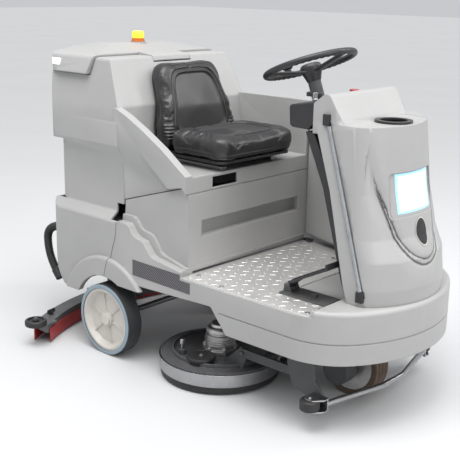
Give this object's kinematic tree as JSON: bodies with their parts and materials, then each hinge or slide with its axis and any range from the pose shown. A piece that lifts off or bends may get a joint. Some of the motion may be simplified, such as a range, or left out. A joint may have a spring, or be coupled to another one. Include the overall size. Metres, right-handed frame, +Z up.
{
  "type": "ride-on floor scrubber",
  "caption": "Ride-on floor scrubber with a steered drive wheel, twin disc brushes, trailing squeegee, moulded tanks, padded seat and steering wheel.",
  "frame": {"origin": "on the floor at the middle of the bounding box's length and width", "axes": "+X forward, +Y to the driver's left, +Z up"},
  "size_m": [1.78, 1.224, 1.2916],
  "materials": {
    "body_shell": "semi-matte moulded",
    "black_plastic": "fine grain",
    "frame_paint": "powder coat",
    "deck_paint": "powder coat",
    "tread_aluminium": "checker plate",
    "bright_steel": "polished",
    "cast_aluminium": "as cast",
    "wheel_plastic": "satin",
    "grey_tyre": "non-marking",
    "drive_tread": "non-marking",
    "black_rubber": "matte",
    "red_rubber": "matte",
    "seat_vinyl": "glossy vinyl",
    "clear_tube": "clear",
    "lamp_lens": "clear, lit",
    "marker_white": "translucent",
    "beacon_yellow": "translucent",
    "beacon_orange": "gloss",
    "stop_red": "gloss",
    "battery_case": "moulded",
    "bristle": "nylon bristle"
  },
  "bodies": {
    "machine": {"chassis_frame": "frame_paint", "rear_axle": "bright_steel", "batteries": "battery_case", "base_body": "body_shell", "left_side_wall": "body_shell", "left_foot_panel": "body_shell", "tread_plate": "tread_aluminium", "deck_screws": "bright_steel", "nose_tank": "body_shell", "headlight_lens": "lamp_lens", "sight_tube": "clear_tube", "sight_fittings": "black_plastic", "filler_strainer": "black_plastic", "column_cover": "black_plastic", "dash_box": "black_plastic", "steering_column": "frame_paint", "pedal_base": "frame_paint", "bumper_tube": "bright_steel"},
    "steering": {"steering_wheel": "black_plastic"},
    "spinner": {"spinner_knob": "black_plastic"},
    "key": {"key_switch": "bright_steel"},
    "stop_button": {"estop_button": "stop_red"},
    "direction_lever": {"drive_lever": "black_plastic"},
    "drive_unit": {"drive_fork": "frame_paint", "drive_motor": "frame_paint"},
    "drive_wheel": {"drive_hub": "cast_aluminium", "drive_tyre": "drive_tread"},
    "rear_wheel_left": {"rear_hub_left": "wheel_plastic", "rear_tyre_left": "grey_tyre"},
    "rear_wheel_right": {"rear_hub_right": "wheel_plastic", "rear_tyre_right": "grey_tyre"},
    "pedal": {"accelerator_pedal": "black_plastic"},
    "lift_arms": {"deck_arms": "frame_paint"},
    "scrub_deck": {"brush_deck": "deck_paint", "ring_guard": "bright_steel", "deck_skirt": "black_rubber", "brush_motors": "cast_aluminium"},
    "latch": {"latch_pin": "bright_steel"},
    "left_brush": {"brush_left": "bristle"},
    "right_brush": {"brush_right": "bristle"},
    "squeegee_lever": {"squeegee_arm": "frame_paint"},
    "squeegee": {"squeegee_body": "deck_paint", "squeegee_blades": "red_rubber", "wing_knobs": "black_plastic"},
    "wall_roller_left": {"squeegee_roller_left": "black_rubber"},
    "wall_roller_right": {"squeegee_roller_right": "black_rubber"},
    "guide_roller_left": {"bumper_roller_left": "black_rubber"},
    "guide_roller_right": {"bumper_roller_right": "black_rubber"},
    "tank": {"recovery_tank": "body_shell", "vacuum_motor": "cast_aluminium", "seat_rails": "bright_steel", "drain_hose": "black_rubber", "drain_cap": "black_rubber"},
    "seat": {"seat_pan": "black_plastic", "seat_cushion": "seat_vinyl", "seat_back": "seat_vinyl"},
    "lid": {"tank_lid": "body_shell", "beacon_base": "beacon_orange", "beacon_lens": "beacon_yellow", "light_strips": "marker_white"}
  },
  "joints": [
    {"name": "front_steer", "type": "hinge", "parent": "machine", "child": "drive_unit", "pos_m": [0.59, 0, 0.3], "axis": [0, 0, 1], "range_deg": [-70, 70]},
    {"name": "steering_turn", "type": "hinge", "parent": "machine", "child": "steering", "pos_m": [0.321, 0, 1.214], "axis": [-0.3584, 0, 0.9336], "range_deg": [-210, 210]},
    {"name": "spinner_turn", "type": "hinge", "parent": "steering", "child": "spinner", "pos_m": [0.17731, 0.06218, 1.15884], "axis": [-0.3584, 0, 0.9336], "continuous": true},
    {"name": "drive_spin", "type": "hinge", "parent": "drive_unit", "child": "drive_wheel", "pos_m": [0.59, 0, 0.125], "axis": [0, 1, 0], "continuous": true},
    {"name": "rear_spin_left", "type": "hinge", "parent": "machine", "child": "rear_wheel_left", "pos_m": [-0.36, 0.392, 0.15], "axis": [0, 1, 0], "continuous": true},
    {"name": "rear_spin_right", "type": "hinge", "parent": "machine", "child": "rear_wheel_right", "pos_m": [-0.36, -0.392, 0.15], "axis": [0, 1, 0], "continuous": true},
    {"name": "pedal_press", "type": "hinge", "parent": "machine", "child": "pedal", "pos_m": [0.46, -0.243, 0.458], "axis": [0, 1, 0], "range_deg": [0, 18], "stiffness_Nm_per_rad": 3, "springref_deg": -11.46},
    {"name": "key_turn", "type": "hinge", "parent": "machine", "child": "key", "pos_m": [0.44, -0.12, 1.11], "axis": [0, 0, 1], "range_deg": [0, 90]},
    {"name": "stop_press", "type": "slide", "parent": "machine", "child": "stop_button", "axis": [0, 0, -1], "range_m": [0, 0.006], "stiffness_N_per_m": 1500, "springref_m": -0.003},
    {"name": "direction_select", "type": "hinge", "parent": "machine", "child": "direction_lever", "pos_m": [0.42, -0.07, 1.08443], "axis": [0, 1, 0], "range_deg": [-15, 15]},
    {"name": "deck_lift", "type": "hinge", "parent": "machine", "child": "lift_arms", "pos_m": [0.545, 0, 0.16], "axis": [0, 1, 0], "range_deg": [0, 12]},
    {"name": "deck_level", "type": "hinge", "parent": "lift_arms", "child": "scrub_deck", "pos_m": [0.29, 0, 0.16], "axis": [0, 1, 0], "range_deg": [-12, 0]},
    {"name": "latch_pull", "type": "slide", "parent": "scrub_deck", "child": "latch", "axis": [0, 0, 1], "range_m": [0, 0.012], "stiffness_N_per_m": 800, "springref_m": -0.004},
    {"name": "left_brush_spin", "type": "hinge", "parent": "scrub_deck", "child": "left_brush", "pos_m": [0.095, 0.215, 0.03], "axis": [0, 0, 1], "continuous": true},
    {"name": "right_brush_spin", "type": "hinge", "parent": "scrub_deck", "child": "right_brush", "pos_m": [0.095, -0.215, 0.03], "axis": [0, 0, 1], "continuous": true},
    {"name": "squeegee_lift", "type": "hinge", "parent": "machine", "child": "squeegee_lever", "pos_m": [-0.42, 0, 0.19], "axis": [0, 1, 0], "range_deg": [0, 5]},
    {"name": "squeegee_swing", "type": "hinge", "parent": "squeegee_lever", "child": "squeegee", "pos_m": [-0.64, 0, 0.12], "axis": [0, 0, 1], "range_deg": [-15, 15]},
    {"name": "wall_roller_spin_left", "type": "hinge", "parent": "squeegee", "child": "wall_roller_left", "pos_m": [-0.64, 0.566, 0.098], "axis": [0, 0, 1], "continuous": true},
    {"name": "wall_roller_spin_right", "type": "hinge", "parent": "squeegee", "child": "wall_roller_right", "pos_m": [-0.64, -0.566, 0.098], "axis": [0, 0, 1], "continuous": true},
    {"name": "guide_roller_spin_left", "type": "hinge", "parent": "machine", "child": "guide_roller_left", "pos_m": [0.66, 0.372, 0.1], "axis": [0, 0, 1], "continuous": true},
    {"name": "guide_roller_spin_right", "type": "hinge", "parent": "machine", "child": "guide_roller_right", "pos_m": [0.66, -0.372, 0.1], "axis": [0, 0, 1], "continuous": true},
    {"name": "tank_tilt", "type": "hinge", "parent": "machine", "child": "tank", "pos_m": [-0.65, 0, 0.3], "axis": [0, -1, 0], "range_deg": [0, 35]},
    {"name": "seat_slide", "type": "slide", "parent": "tank", "child": "seat", "axis": [1, 0, 0], "range_m": [0, 0.09]},
    {"name": "lid_hinge", "type": "hinge", "parent": "tank", "child": "lid", "pos_m": [-0.773, 0, 1.12], "axis": [0, -1, 0], "range_deg": [0, 85]}
  ],
  "couplings": [
    {"joint": "steering_turn", "follows": "front_steer", "ratio": 3},
    {"joint": "deck_level", "follows": "deck_lift", "ratio": -1}
  ]
}
